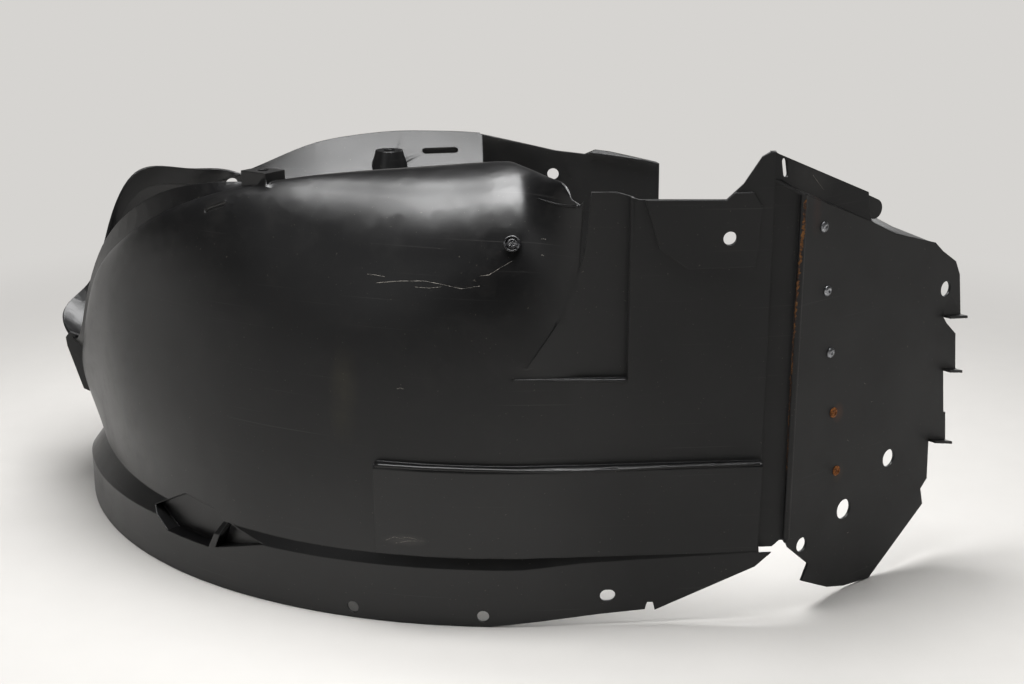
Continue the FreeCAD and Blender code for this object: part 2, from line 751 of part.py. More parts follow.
# The whole part stands with the middle of its foot on the origin
pieces = {
    "liner_shell": [max(shell.Solids, key=lambda solid: solid.Volume)],
    "backing_strip": [backing_strip.Solids[0]],
    "plate_rivets": [item.Solids[0] for item in rivets[:rivet_count - rusted_count]],
    "rusted_rivets": [item.Solids[0] for item in rivets[rivet_count - rusted_count:]],
    "push_plug": [push_plug.Solids[0]],
}
box = FreeCAD.BoundBox()
for solids in pieces.values():
    for solid in solids:
        box.add(solid.optimalBoundingBox(False, False))
shift = Vec(-box.Center.x, -box.Center.y, -box.ZMin)
for name, solids in pieces.items():
    placed = [solid.translated(shift) for solid in solids]
    Part.Compound(placed).exportStep("parts/" + name + ".step")
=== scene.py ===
import bmesh
import bpy
import math
import random
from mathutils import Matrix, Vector


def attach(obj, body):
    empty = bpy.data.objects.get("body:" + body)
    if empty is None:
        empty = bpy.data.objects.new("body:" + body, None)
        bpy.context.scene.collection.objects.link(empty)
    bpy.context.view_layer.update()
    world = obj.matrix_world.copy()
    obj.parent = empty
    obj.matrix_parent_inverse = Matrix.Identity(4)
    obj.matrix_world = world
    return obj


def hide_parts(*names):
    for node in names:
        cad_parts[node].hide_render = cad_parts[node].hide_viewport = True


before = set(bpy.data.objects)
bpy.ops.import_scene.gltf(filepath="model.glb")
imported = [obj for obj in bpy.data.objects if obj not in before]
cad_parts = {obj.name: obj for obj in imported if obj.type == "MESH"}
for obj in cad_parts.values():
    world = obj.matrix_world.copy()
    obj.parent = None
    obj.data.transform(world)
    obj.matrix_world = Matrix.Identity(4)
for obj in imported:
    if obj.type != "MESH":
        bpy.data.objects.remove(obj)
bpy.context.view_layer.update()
bpy.ops.object.select_all(action="DESELECT")

# Camera: it looks at the long side of the arch from a little above the crest.
# The focal length is 1500 pixels on a frame of 1024 by 684.
PHOTO_WIDTH = 1024
PHOTO_HEIGHT = 684
FOCAL_PIXELS = 1500
CAMERA_PLACE = Vector((0.03255, -1.53433, 0.619))
CAMERA_PITCH = math.radians(74)
SENSOR_MM = 36
bpy.ops.object.camera_add(location=CAMERA_PLACE, rotation=(CAMERA_PITCH, 0, 0))
camera = bpy.context.object
camera.data.sensor_width = SENSOR_MM
camera.data.lens = SENSOR_MM * FOCAL_PIXELS / PHOTO_WIDTH
bpy.context.scene.camera = camera
bpy.context.view_layer.update()

# Mudguard shell: one thin moulding of black polypropylene with a satin skin.
# The arch, its lip, the folded end plate and the upper strip are all one sheet, 2.5 mm thick.
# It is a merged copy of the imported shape, with soft shading over its curves and crisp folds.
MERGE = 0.00001
EVEN_ANGLE = math.radians(6)
SHELL_SMOOTH = math.radians(12)
# The seam above the lip stays crisp, and the end of the shoulder flows softly into the panel.
# Each zone has its lowest and highest corner, and the angle up to which it is smooth.
LIP_ZONE = ((-0.5, -0.32, 0), (0.5, 0.32, 0.1), math.radians(6))
SHOULDER_ZONE = ((0.026, -0.32, 0.165), (0.125, -0.1, 0.43), math.radians(80))


def merged_copy(node_name, piece_name):
    """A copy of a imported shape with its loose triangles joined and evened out."""
    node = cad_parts[node_name]
    piece = node.copy()
    piece.data = node.data.copy()
    piece.name = piece_name
    bpy.context.collection.objects.link(piece)
    piece.parent = None
    bpy.ops.object.select_all(action="DESELECT")
    piece.select_set(True)
    bpy.context.view_layer.objects.active = piece
    bpy.ops.object.mode_set(mode="EDIT")
    bpy.ops.mesh.select_all(action="SELECT")
    bpy.ops.mesh.remove_doubles(threshold=MERGE)
    bpy.ops.mesh.beautify_fill(angle_limit=EVEN_ANGLE)
    bpy.ops.mesh.select_all(action="DESELECT")
    bpy.ops.object.mode_set(mode="OBJECT")
    piece.data.materials.clear()
    return piece


def soft_shading(piece, smooth_angle, zones=()):
    """Shades a piece smooth up to an angle, or to a zone's own angle, led by its larger faces."""
    bpy.ops.object.shade_smooth_by_angle(angle=smooth_angle)
    work = bmesh.new()
    work.from_mesh(piece.data)
    for edge in work.edges:
        middle = (edge.verts[0].co + edge.verts[1].co) / 2
        for low, high, angle in zones:
            if edge.is_manifold and all(a < b < c for a, b, c in zip(low, middle, high)):
                edge.smooth = edge.calc_face_angle() < angle
    work.to_mesh(piece.data)
    work.free()
    bpy.ops.object.modifier_add(type="WEIGHTED_NORMAL")
    piece.modifiers[-1].keep_sharp = True
    bpy.ops.object.modifier_apply(modifier=piece.modifiers[-1].name)
    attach(piece, "root")


shell = merged_copy("liner_shell", "mudguard_shell")

# The upper strip's corner is trimmed level with the top of the panel beside it.
CORNER_TOP = 0.4262
CORNER_TRIM = Vector((0.0022, 0, -0.004))
for vertex in shell.data.vertices:
    if vertex.co.z > CORNER_TOP:
        vertex.co = vertex.co + CORNER_TRIM

# The shoulder's end is eased into the panel: its faces are cut finer and its corner is drawn in.
# Square rims stay where they are, and so does the sheet about the push plug.
EASE_LOW = Vector((0.016, -0.32, 0.19))
EASE_HIGH = Vector((0.125, -0.1, 0.43))
# Inside these the easing is full, and from there it fades to nothing at the zone's sides.
FULL_LEFT = 0.04
FULL_RIGHT = 0.1
FULL_FRONT = -0.13
FULL_ABOVE = 0.23
EASE_CUTS = 2
EASE_FACTOR = 0.5
EASE_STEPS = 100
RIM_ANGLE = math.radians(80)
PLUG_SEAT = Vector((0.03253, -0.26856, 0.34381))
PLUG_CLEAR = 0.009
PLUG_FADE = 0.02


def fade(value, none, full):
    """Goes from nothing to one as a value goes from none to full."""
    return min(max((value - none) / (full - none), 0), 1)


for face in shell.data.polygons:
    face.select = all(a < b < c for a, b, c in zip(EASE_LOW, face.center, EASE_HIGH))
bpy.ops.object.mode_set(mode="EDIT")
bpy.ops.mesh.select_mode(type="FACE")
bpy.ops.mesh.subdivide(number_cuts=EASE_CUTS)
bpy.ops.mesh.select_all(action="DESELECT")
bpy.ops.object.mode_set(mode="OBJECT")
work = bmesh.new()
work.from_mesh(shell.data)
rims = [edge for edge in work.edges if edge.is_manifold and edge.calc_face_angle() > RIM_ANGLE]
rim_points = {vertex.index for edge in rims for vertex in edge.verts}
work.free()
eased = shell.vertex_groups.new(name="eased")
for vertex in shell.data.vertices:
    x, y, z = vertex.co
    weight = fade(x, EASE_LOW.x, FULL_LEFT) * fade(x, EASE_HIGH.x, FULL_RIGHT)
    weight = weight * fade(z, EASE_LOW.z, FULL_ABOVE) * fade(y, EASE_HIGH.y, FULL_FRONT)
    weight = weight * fade((vertex.co - PLUG_SEAT).length, PLUG_CLEAR, PLUG_FADE)
    if weight > 0 and vertex.index not in rim_points:
        eased.add([vertex.index], weight, "REPLACE")
bpy.ops.object.modifier_add(type="SMOOTH")
shell.modifiers[-1].factor = EASE_FACTOR
shell.modifiers[-1].iterations = EASE_STEPS
shell.modifiers[-1].vertex_group = eased.name
bpy.ops.object.modifier_apply(modifier=shell.modifiers[-1].name)
shell.vertex_groups.clear()
soft_shading(shell, SHELL_SMOOTH, (LIP_ZONE, SHOULDER_ZONE))
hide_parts("liner_shell")
bpy.context.view_layer.update()


def on_shell(across, down):
    """The shell's point and normal that show at a pixel of the photograph's frame."""
    right = (across - PHOTO_WIDTH / 2) / FOCAL_PIXELS
    up = (PHOTO_HEIGHT / 2 - down) / FOCAL_PIXELS
    ray = camera.matrix_world.to_3x3() @ Vector((right, up, -1))
    return shell.ray_cast(CAMERA_PLACE, ray.normalized())[1:3]


def linear(hex_code):
    """Linear colour of an sRGB hex value."""
    parts = [int(hex_code[place:place + 2], 16) / 255 for place in (1, 3, 5)]
    return tuple(c / 12.92 if c <= 0.04045 else ((c + 0.055) / 1.055) ** 2.4 for c in parts) + (1,)


def add_node(tree, kind, settings=None, links=None):
    """Adds a node, sets its values and links its inputs."""
    node = tree.nodes.new(kind)
    for name, value in (settings or {}).items():
        if isinstance(name, int) or name in node.inputs:
            node.inputs[name].default_value = value
        else:
            setattr(node, name, value)
    for name, source in (links or {}).items():
        tree.links.new(source, node.inputs[name])
    return node


# Satin black polypropylene: nearly black, with a soft broad gloss that is cloudy from handling.
# Dust sits in patches, fine scuffs run along the sheet and the skin has a fine moulded grain.
# The grain and the specks are drawn coarser than they really are, so that they show.
CLOUD_MM = 140
DUST_MM = 26
SPECK_MM = 2.4
GRAIN_MM = 1.1
WAVE_MM = 75
EDGE_MM = 1.6
SATIN_ROUGH = 0.28
CLOUDY_ROUGH = 0.4
DUST_ROUGH = 0.25
DUST_SHARE = 0.3
SCUFF_SHARE = 0.5
SPECK_SHARE = 0.4
SCUFF_TURNS = (0.05, -0.35)
SCUFF_LONG_MM = 170
SCUFF_THIN_MM = 1.3
SCUFF_SCALE = (1000 / SCUFF_LONG_MM, 1000 / SCUFF_LONG_MM, 1000 / SCUFF_THIN_MM)
# The flat panel and the end plate were textured in the mould, so they are more matt.
PANEL_FROM = 0.05
PANEL_FULL = 0.14
PANEL_MATT = 0.22
plastic = bpy.data.materials.new("satin_black_polypropylene")
plastic.use_nodes = True
tree = plastic.node_tree
skin = tree.nodes["Principled BSDF"]
skin.inputs["IOR"].default_value = 1.49
skin.inputs["Specular IOR Level"].default_value = 0.5
place = add_node(tree, "ShaderNodeTexCoord").outputs["Object"]
cloud = add_node(tree, "ShaderNodeTexNoise", {"Scale": 1000 / CLOUD_MM, "Detail": 4}, {"Vector": place})
gloss = add_node(
    tree, "ShaderNodeMapRange",
    {"From Min": 0.3, "From Max": 0.7, "To Min": SATIN_ROUGH, "To Max": CLOUDY_ROUGH},
    {"Value": cloud.outputs["Fac"]},
)
dust = add_node(
    tree, "ShaderNodeTexNoise", {"Scale": 1000 / DUST_MM, "Detail": 8, "Roughness": 0.7},
    {"Vector": place},
)
dusty = add_node(
    tree, "ShaderNodeMapRange",
    {"From Min": 0.5, "From Max": 0.8, "To Min": 0, "To Max": DUST_SHARE},
    {"Value": dust.outputs["Fac"]},
)
body = add_node(
    tree, "ShaderNodeMix", {"data_type": "RGBA", 6: linear("#070708"), 7: linear("#211f1d")},
    {0: dusty.outputs["Result"]},
)
colour = body.outputs[2]
for turn in SCUFF_TURNS:
    lay = add_node(
        tree, "ShaderNodeMapping", {"Rotation": (0, turn, 0), "Scale": SCUFF_SCALE}, {"Vector": place},
    )
    scuff = add_node(
        tree, "ShaderNodeTexNoise", {"Scale": 1, "Detail": 1}, {"Vector": lay.outputs["Vector"]},
    )
    line = add_node(
        tree, "ShaderNodeMapRange",
        {"From Min": 0.74, "From Max": 0.82, "To Min": 0, "To Max": SCUFF_SHARE},
        {"Value": scuff.outputs["Fac"]},
    )
    mixed = add_node(
        tree, "ShaderNodeMix", {"data_type": "RGBA", 7: linear("#3b3a39")},
        {0: line.outputs["Result"], 6: colour},
    )
    colour = mixed.outputs[2]
speck = add_node(tree, "ShaderNodeTexNoise", {"Scale": 1000 / SPECK_MM, "Detail": 2}, {"Vector": place})
dot = add_node(
    tree, "ShaderNodeMapRange",
    {"From Min": 0.72, "From Max": 0.77, "To Min": 0, "To Max": SPECK_SHARE},
    {"Value": speck.outputs["Fac"]},
)
specked = add_node(
    tree, "ShaderNodeMix", {"data_type": "RGBA", 7: linear("#6d6860")},
    {0: dot.outputs["Result"], 6: colour},
)
colour = specked.outputs[2]

# Stains on the skin: dusty haze on the arch, the lip and the strip, and rust by the seam and two rivets.
# Each is a soft ball of colour about a place on the sheet, broken up by the dust pattern.
# It has the place's pixel, its reach along X, Y and Z in metres, its colour and its strength.
STAINS = (
    ((344, 395), (0.02, 0.05, 0.06), "#2e2b20", 0.5),
    ((817, 214), (0.007, 0.02, 0.03), "#2b1611", 0.8),
    ((838, 413), (0.011, 0.011, 0.013), "#3d2110", 0.9),
    ((838, 472), (0.011, 0.011, 0.013), "#33200f", 0.8),
    ((404, 540), (0.03, 0.03, 0.008), "#3a3836", 0.7),
    ((812, 176), (0.05, 0.05, 0.03), "#2b2a29", 0.8),
)
for pixel, reach, hex_code, share in STAINS:
    point, normal = on_shell(*pixel)
    ball = add_node(
        tree, "ShaderNodeMapping",
        {"vector_type": "TEXTURE", "Location": tuple(point), "Scale": reach}, {"Vector": place},
    )
    soft = add_node(
        tree, "ShaderNodeTexGradient", {"gradient_type": "SPHERICAL"}, {"Vector": ball.outputs["Vector"]},
    )
    broken = add_node(
        tree, "ShaderNodeMath", {"operation": "MULTIPLY"},
        {0: soft.outputs["Fac"], 1: dust.outputs["Fac"]},
    )
    strength = add_node(
        tree, "ShaderNodeMapRange",
        {"From Min": 0.1, "From Max": 0.4, "To Min": 0, "To Max": share},
        {"Value": broken.outputs["Value"]},
    )
    stained = add_node(
        tree, "ShaderNodeMix", {"data_type": "RGBA", 7: linear(hex_code)},
        {0: strength.outputs["Result"], 6: colour},
    )
    colour = stained.outputs[2]
tree.links.new(colour, skin.inputs["Base Color"])
side = add_node(tree, "ShaderNodeSeparateXYZ", None, {"Vector": place})
flat = add_node(
    tree, "ShaderNodeMapRange",
    {"From Min": PANEL_FROM, "From Max": PANEL_FULL, "To Min": 0, "To Max": PANEL_MATT},
    {"Value": side.outputs["X"]},
)
# The tops of the ledges face up, and they came smooth from the mould.
outward = add_node(tree, "ShaderNodeNewGeometry").outputs["Normal"]
facing = add_node(tree, "ShaderNodeSeparateXYZ", None, {"Vector": outward})
upright = add_node(
    tree, "ShaderNodeMapRange", {"From Min": 0.15, "From Max": 0.5, "To Min": 1, "To Max": 0},
    {"Value": facing.outputs["Z"]},
)
matted = add_node(
    tree, "ShaderNodeMath", {"operation": "MULTIPLY"},
    {0: flat.outputs["Result"], 1: upright.outputs["Result"]},
)
evened = add_node(
    tree, "ShaderNodeMath", {"operation": "ADD"},
    {0: gloss.outputs["Result"], 1: matted.outputs["Value"]},
)
rough = add_node(
    tree, "ShaderNodeMath", {"operation": "MULTIPLY_ADD", 1: DUST_ROUGH},
    {0: dusty.outputs["Result"], 2: evened.outputs["Value"]},
)
tree.links.new(rough.outputs["Value"], skin.inputs["Roughness"])
wave = add_node(tree, "ShaderNodeTexNoise", {"Scale": 1000 / WAVE_MM, "Detail": 1}, {"Vector": place})
edges = add_node(tree, "ShaderNodeBevel", {"samples": 6, "Radius": EDGE_MM / 1000})
waved = add_node(
    tree, "ShaderNodeBump", {"Strength": 0.2, "Distance": 0.002},
    {"Height": wave.outputs["Fac"], "Normal": edges.outputs["Normal"]},
)
grain = add_node(tree, "ShaderNodeTexNoise", {"Scale": 1000 / GRAIN_MM, "Detail": 2}, {"Vector": place})
grained = add_node(
    tree, "ShaderNodeBump", {"Strength": 0.12, "Distance": 0.0002},
    {"Height": grain.outputs["Fac"], "Normal": waved.outputs["Normal"]},
)
tree.links.new(grained.outputs["Normal"], skin.inputs["Normal"])
shell.data.materials.append(plastic)

# Backing strip: a flat strip of plated steel behind the end plate, pressed up by the rivets.
# It is cut from rolled sheet, so its dull face has fine streaks along its length.
STREAK_MM = 0.8
STREAK_LONG_MM = 60
BLOOMS_PER_METRE = 60
STRIP_SMOOTH = math.radians(30)
strip = merged_copy("backing_strip", "backing_strip_plate")
soft_shading(strip, STRIP_SMOOTH)
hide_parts("backing_strip")
plated = bpy.data.materials.new("dull_zinc_plated_steel")
plated.use_nodes = True
tree = plated.node_tree
skin = tree.nodes["Principled BSDF"]
skin.inputs["Metallic"].default_value = 1
place = add_node(tree, "ShaderNodeTexCoord").outputs["Object"]
lay = add_node(
    tree, "ShaderNodeMapping",
    {"Scale": (1000 / STREAK_MM, 1000 / STREAK_MM, 1000 / STREAK_LONG_MM)}, {"Vector": place},
)
streak = add_node(tree, "ShaderNodeTexNoise", {"Scale": 1, "Detail": 3}, {"Vector": lay.outputs["Vector"]})
bloom = add_node(tree, "ShaderNodeTexNoise", {"Scale": BLOOMS_PER_METRE, "Detail": 5}, {"Vector": place})
tone = add_node(
    tree, "ShaderNodeMix", {"data_type": "RGBA", 6: linear("#5f6063"), 7: linear("#8f9092")},
    {0: bloom.outputs["Fac"]},
)
tree.links.new(tone.outputs[2], skin.inputs["Base Color"])
matt = add_node(
    tree, "ShaderNodeMapRange", {"From Min": 0.3, "From Max": 0.7, "To Min": 0.38, "To Max": 0.62},
    {"Value": streak.outputs["Fac"]},
)
tree.links.new(matt.outputs["Result"], skin.inputs["Roughness"])
scored = add_node(
    tree, "ShaderNodeBump", {"Strength": 0.2, "Distance": 0.0001}, {"Height": streak.outputs["Fac"]},
)
tree.links.new(scored.outputs["Normal"], skin.inputs["Normal"])
strip.data.materials.append(plated)

# Blind rivets: three of dull steel and two that have rusted, each with the hole of its broken mandrel.
# They clamp the end plate to the strip behind it, with a low head in front and a bulb behind.
RIVET_SMOOTH = math.radians(35)
PIT_MM = 1.6
rivets = merged_copy("plate_rivets", "steel_rivets")
soft_shading(rivets, RIVET_SMOOTH)
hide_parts("plate_rivets")
rusty_rivets = merged_copy("rusted_rivets", "rusty_rivets")
soft_shading(rusty_rivets, RIVET_SMOOTH)
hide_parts("rusted_rivets")
# Worn steel shines dully with dark pits; rust is a matt crust that runs from orange to brown.
# Each finish has its dark and bright colour, how metallic it is, and its roughness when bright and dark.
RIVET_FINISHES = (
    (rivets, "worn_rivet_steel", "#55565a", "#b9bbbe", 1, 0.3, 0.5),
    (rusty_rivets, "rusted_rivet_steel", "#3a1d0c", "#a5642a", 0, 0.7, 0.95),
)
for piece, finish_name, dark, bright, metallic, smooth, coarse in RIVET_FINISHES:
    finish = bpy.data.materials.new(finish_name)
    finish.use_nodes = True
    tree = finish.node_tree
    skin = tree.nodes["Principled BSDF"]
    skin.inputs["Metallic"].default_value = metallic
    place = add_node(tree, "ShaderNodeTexCoord").outputs["Object"]
    pit = add_node(
        tree, "ShaderNodeTexNoise", {"Scale": 1000 / PIT_MM, "Detail": 6, "Roughness": 0.65},
        {"Vector": place},
    )
    depth = add_node(
        tree, "ShaderNodeMapRange", {"From Min": 0.36, "From Max": 0.6}, {"Value": pit.outputs["Fac"]},
    )
    tone = add_node(
        tree, "ShaderNodeMix", {"data_type": "RGBA", 6: linear(dark), 7: linear(bright)},
        {0: depth.outputs["Result"]},
    )
    tree.links.new(tone.outputs[2], skin.inputs["Base Color"])
    matt = add_node(
        tree, "ShaderNodeMapRange", {"From Min": 0.3, "From Max": 0.7, "To Min": coarse, "To Max": smooth},
        {"Value": pit.outputs["Fac"]},
    )
    tree.links.new(matt.outputs["Result"], skin.inputs["Roughness"])
    pitted = add_node(
        tree, "ShaderNodeBump", {"Strength": 0.4, "Distance": 0.0003}, {"Height": pit.outputs["Fac"]},
    )
    tree.links.new(pitted.outputs["Normal"], skin.inputs["Normal"])
    piece.data.materials.append(finish)

# Push plug: a turned-over round head with a groove inside its rim and a crumpled pin in the middle.
# It is moulded in black plastic and pressed into its hole in the shoulder by its stem.
PLUG_AXIS = Vector((-0.0081, -0.87856, 0.47757))
PLUG_RADIUS = 0.0075
HEAD_SIDES = 40
STEM_RADIUS = 0.0038
STEM_LENGTH = 0.009
STEM_TAPER = 0.8
CRUMPLE_RADIUS = 0.0042
CRUMPLE_ABOVE = 0.0001
CRUMPLE_DEPTH = 0.00035
CRUMPLE_SEED = 4
# Each step of the head: how far the ring goes up, and its new size beside the ring before.
HEAD_STEPS = (
    (0.0010, 1.00), (0.0007, 0.97), (0.0003, 0.92), (0.0000, 0.90), (-0.0004, 0.96), (-0.0011, 0.95),
    (0.0000, 0.88), (0.0009, 0.95), (0.0005, 0.86), (0.0002, 0.72), (-0.0004, 0.62), (0.0003, 0.50),
)
bpy.ops.object.select_all(action="DESELECT")
bpy.ops.mesh.primitive_circle_add(vertices=HEAD_SIDES, radius=PLUG_RADIUS, fill_type="NGON")
plug = bpy.context.object
plug.name = "push_plug_head"
bpy.ops.object.mode_set(mode="EDIT")
bpy.ops.mesh.select_mode(type="FACE")
bpy.ops.mesh.select_all(action="SELECT")
for rise, size in HEAD_STEPS:
    bpy.ops.mesh.extrude_region_move(TRANSFORM_OT_translate={"value": (0, 0, rise)})
    bpy.ops.transform.resize(value=(size, size, 1), center_override=(0, 0, 0))
bpy.ops.mesh.poke()
bpy.ops.object.mode_set(mode="OBJECT")
for face in plug.data.polygons:
    face.select = len(face.vertices) > 4
bpy.ops.object.mode_set(mode="EDIT")
stem_share = STEM_RADIUS / PLUG_RADIUS
bpy.ops.mesh.extrude_region_move(TRANSFORM_OT_translate={"value": (0, 0, 0)})
bpy.ops.transform.resize(value=(stem_share, stem_share, 1), center_override=(0, 0, 0))
bpy.ops.mesh.extrude_region_move(TRANSFORM_OT_translate={"value": (0, 0, -STEM_LENGTH)})
bpy.ops.transform.resize(value=(STEM_TAPER, STEM_TAPER, 1), center_override=(0, 0, 0))
bpy.ops.object.mode_set(mode="OBJECT")
for vertex in plug.data.vertices:
    vertex.select = vertex.co.xy.length < CRUMPLE_RADIUS and vertex.co.z > CRUMPLE_ABOVE
bpy.ops.object.mode_set(mode="EDIT")
bpy.ops.mesh.select_mode(type="VERT")
bpy.ops.transform.vertex_random(offset=CRUMPLE_DEPTH, seed=CRUMPLE_SEED)
bpy.ops.mesh.select_all(action="SELECT")
bpy.ops.mesh.normals_make_consistent(inside=False)
bpy.ops.object.mode_set(mode="OBJECT")
bpy.ops.object.modifier_add(type="SUBSURF")
plug.modifiers[-1].levels = 2
plug.modifiers[-1].render_levels = 2
bpy.ops.object.modifier_apply(modifier=plug.modifiers[-1].name)
bpy.ops.object.shade_smooth()
plug.rotation_mode = "QUATERNION"
plug.rotation_quaternion = PLUG_AXIS.to_track_quat("Z", "Y")
plug.location = PLUG_SEAT
bpy.ops.object.transform_apply(location=True, rotation=True, scale=True)
# Scuffed black nylon: glossier than the sheet, with pale rubbed spots scattered over it.
RUB_MM = 3.5
nylon = bpy.data.materials.new("scuffed_black_nylon")
nylon.use_nodes = True
tree = nylon.node_tree
skin = tree.nodes["Principled BSDF"]
skin.inputs["IOR"].default_value = 1.53
place = add_node(tree, "ShaderNodeTexCoord").outputs["Object"]
rub = add_node(tree, "ShaderNodeTexNoise", {"Scale": 1000 / RUB_MM, "Detail": 4}, {"Vector": place})
worn = add_node(
    tree, "ShaderNodeMapRange", {"From Min": 0.5, "From Max": 0.72, "To Min": 0, "To Max": 0.8},
    {"Value": rub.outputs["Fac"]},
)
tone = add_node(
    tree, "ShaderNodeMix", {"data_type": "RGBA", 6: linear("#141416"), 7: linear("#5a5a5c")},
    {0: worn.outputs["Result"]},
)
tree.links.new(tone.outputs[2], skin.inputs["Base Color"])
matt = add_node(
    tree, "ShaderNodeMapRange", {"From Min": 0.3, "From Max": 0.7, "To Min": 0.2, "To Max": 0.4},
    {"Value": rub.outputs["Fac"]},
)
tree.links.new(matt.outputs["Result"], skin.inputs["Roughness"])
plug.data.materials.append(nylon)
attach(plug, "root")
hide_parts("push_plug")

# Seam deposit: dried amber wax and rust that has crept out of the fold beside the end plate.
# It is a rough bead in the corner, thick at the top and a thin whitish line lower down.
BEAD_TOP = ((806, 200), (803.5, 230), (800, 262), (797.5, 290), (793.5, 340), (791, 380))
BEAD_FOOT = ((791, 380), (788.5, 425), (787, 470))
random.seed(7)


def laid_line(piece_name, pixels, count, thick, thin, wander, sink, uneven=0.4):
    """A tube of uneven thickness that lies on the shell along a line of photograph pixels."""
    # Its radius goes from thick to thin, wander is in pixels, sink and uneven are shares of the radius.
    bpy.ops.object.select_all(action="DESELECT")
    bpy.ops.curve.primitive_nurbs_path_add()
    line = bpy.context.object
    line.name = piece_name
    line.data.splines.clear()
    spline = line.data.splines.new("POLY")
    spline.points.add(count - 1)
    for number, knot in enumerate(spline.points):
        share = number / (count - 1) * (len(pixels) - 1)
        first = min(int(share), len(pixels) - 2)
        part = share - first
        across = pixels[first][0] * (1 - part) + pixels[first + 1][0] * part
        down = pixels[first][1] * (1 - part) + pixels[first + 1][1] * part
        across = across + random.uniform(-wander, wander)
        point, normal = on_shell(across, down)
        taper = thick + (thin - thick) * number / (count - 1)
        knot.co = tuple(point - normal * sink * taper) + (1,)
        knot.radius = taper * random.uniform(1 - uneven, 1 + uneven / 2)
    line.data.dimensions = "3D"
    line.data.bevel_depth = 1
    line.data.bevel_resolution = 2
    line.data.use_fill_caps = True
    bpy.ops.object.convert(target="MESH")
    line = bpy.context.object
    bpy.ops.object.mode_set(mode="EDIT")
    bpy.ops.mesh.select_all(action="SELECT")
    bpy.ops.mesh.remove_doubles(threshold=MERGE)
    bpy.ops.mesh.normals_make_consistent(inside=False)
    bpy.ops.object.mode_set(mode="OBJECT")
    bpy.ops.object.shade_smooth()
    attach(line, "root")
    return line


bead = laid_line("seam_wax_bead", BEAD_TOP, count=150, thick=0.0017, thin=0.0007, wander=0.7, sink=0.5)
trail = laid_line("seam_wax_trail", BEAD_FOOT, count=60, thick=0.0007, thin=0.0003, wander=0.5, sink=0.5)
# Dried wax with rust: a matt crust, mottled from dark brown through amber to a chalky white.
MOTTLE_MM = 4.5
wax = bpy.data.materials.new("dried_wax_and_rust")
wax.use_nodes = True
tree = wax.node_tree
skin = tree.nodes["Principled BSDF"]
place = add_node(tree, "ShaderNodeTexCoord").outputs["Object"]
mottle = add_node(
    tree, "ShaderNodeTexNoise", {"Scale": 1000 / MOTTLE_MM, "Detail": 5, "Roughness": 0.65},
    {"Vector": place},
)
tones = add_node(tree, "ShaderNodeValToRGB", None, {"Fac": mottle.outputs["Fac"]})
ramp = tones.color_ramp
ramp.elements[0].position = 0.38
ramp.elements[0].color = linear("#1d0f08")
ramp.elements[1].position = 0.72
ramp.elements[1].color = linear("#b7a184")
for position, hex_code in ((0.47, "#4a2a10"), (0.56, "#80521f"), (0.64, "#5d4122")):
    ramp.elements.new(position).color = linear(hex_code)
tree.links.new(tones.outputs["Color"], skin.inputs["Base Color"])
matt = add_node(
    tree, "ShaderNodeMapRange", {"From Min": 0.3, "From Max": 0.7, "To Min": 0.55, "To Max": 0.85},
    {"Value": mottle.outputs["Fac"]},
)
tree.links.new(matt.outputs["Result"], skin.inputs["Roughness"])
crust = add_node(
    tree, "ShaderNodeBump", {"Strength": 0.6, "Distance": 0.0006}, {"Height": mottle.outputs["Fac"]},
)
tree.links.new(crust.outputs["Normal"], skin.inputs["Normal"])
for piece in (bead, trail):
    piece.data.materials.append(wax)

# Rolled edges: the rounded fronts of the pocket's ledge and the long ledge, and the shoulder's fold.
# They are part of the same moulding, in the same plastic, and they grow or run out along their length.
POCKET_EDGE = ((512, 380), (560, 380.5), (600, 381), (627, 381))
LONG_EDGE = (
    (375, 465.5), (420, 468.3), (472, 470.2), (530, 471.6), (580, 471.4), (618, 470), (668, 467.4),
    (760, 464.4),
)
SHOULDER_FOLD = ((538, 198.5), (548, 202), (560, 205), (570, 206.5), (578, 206.5))
# Each has its pixels, its count of points, its radius at the first and last point and its sunk share.
ROLLED_EDGES = (
    ("pocket_ledge_edge", POCKET_EDGE, 40, 0.0004, 0.0024, 0.35),
    ("long_ledge_edge", LONG_EDGE, 90, 0.0022, 0.0014, 0.55),
    ("shoulder_fold", SHOULDER_FOLD, 30, 0.0006, 0.0018, 0.35),
)
for name, pixels, count, thick, thin, sink in ROLLED_EDGES:
    rolled = laid_line(name, pixels, count, thick, thin, wander=0, sink=sink, uneven=0)
    rolled.data.materials.append(plastic)

# Plate flange: the end plate's upper edge is turned back as a narrow flange that runs out to the right.
# It is part of the same moulding, in the same plastic and of the same thickness.
FLANGE_LINE = ((874, 225.5), (897, 236), (932, 244.5))
FLANGE_DEPTHS = (0.026, 0.02, 0.003)
FLANGE_RISE = 0.0015
FLANGE_WALL = 0.0025
FLANGE_ROUND = 0.0006
FLANGE_SMOOTH = math.radians(30)
FLANGE_WAY = Vector((0, 1, 0.18))
bpy.ops.object.select_all(action="DESELECT")
bpy.ops.mesh.primitive_grid_add(x_subdivisions=len(FLANGE_LINE) - 1, y_subdivisions=1, size=1)
flange = bpy.context.object
flange.name = "plate_top_flange"
for vertex in flange.data.vertices:
    column = round((vertex.co.x + 0.5) * (len(FLANGE_LINE) - 1))
    point, normal = on_shell(*FLANGE_LINE[column])
    depth = FLANGE_DEPTHS[column] if vertex.co.y > 0 else FLANGE_ROUND
    vertex.co = point + FLANGE_WAY * depth + Vector((0, 0, FLANGE_RISE))
bpy.ops.object.modifier_add(type="SOLIDIFY")
flange.modifiers[-1].thickness = FLANGE_WALL
flange.modifiers[-1].offset = -1
bpy.ops.object.modifier_apply(modifier=flange.modifiers[-1].name)
bpy.ops.object.modifier_add(type="BEVEL")
flange.modifiers[-1].width = FLANGE_ROUND
flange.modifiers[-1].segments = 2
bpy.ops.object.modifier_apply(modifier=flange.modifiers[-1].name)
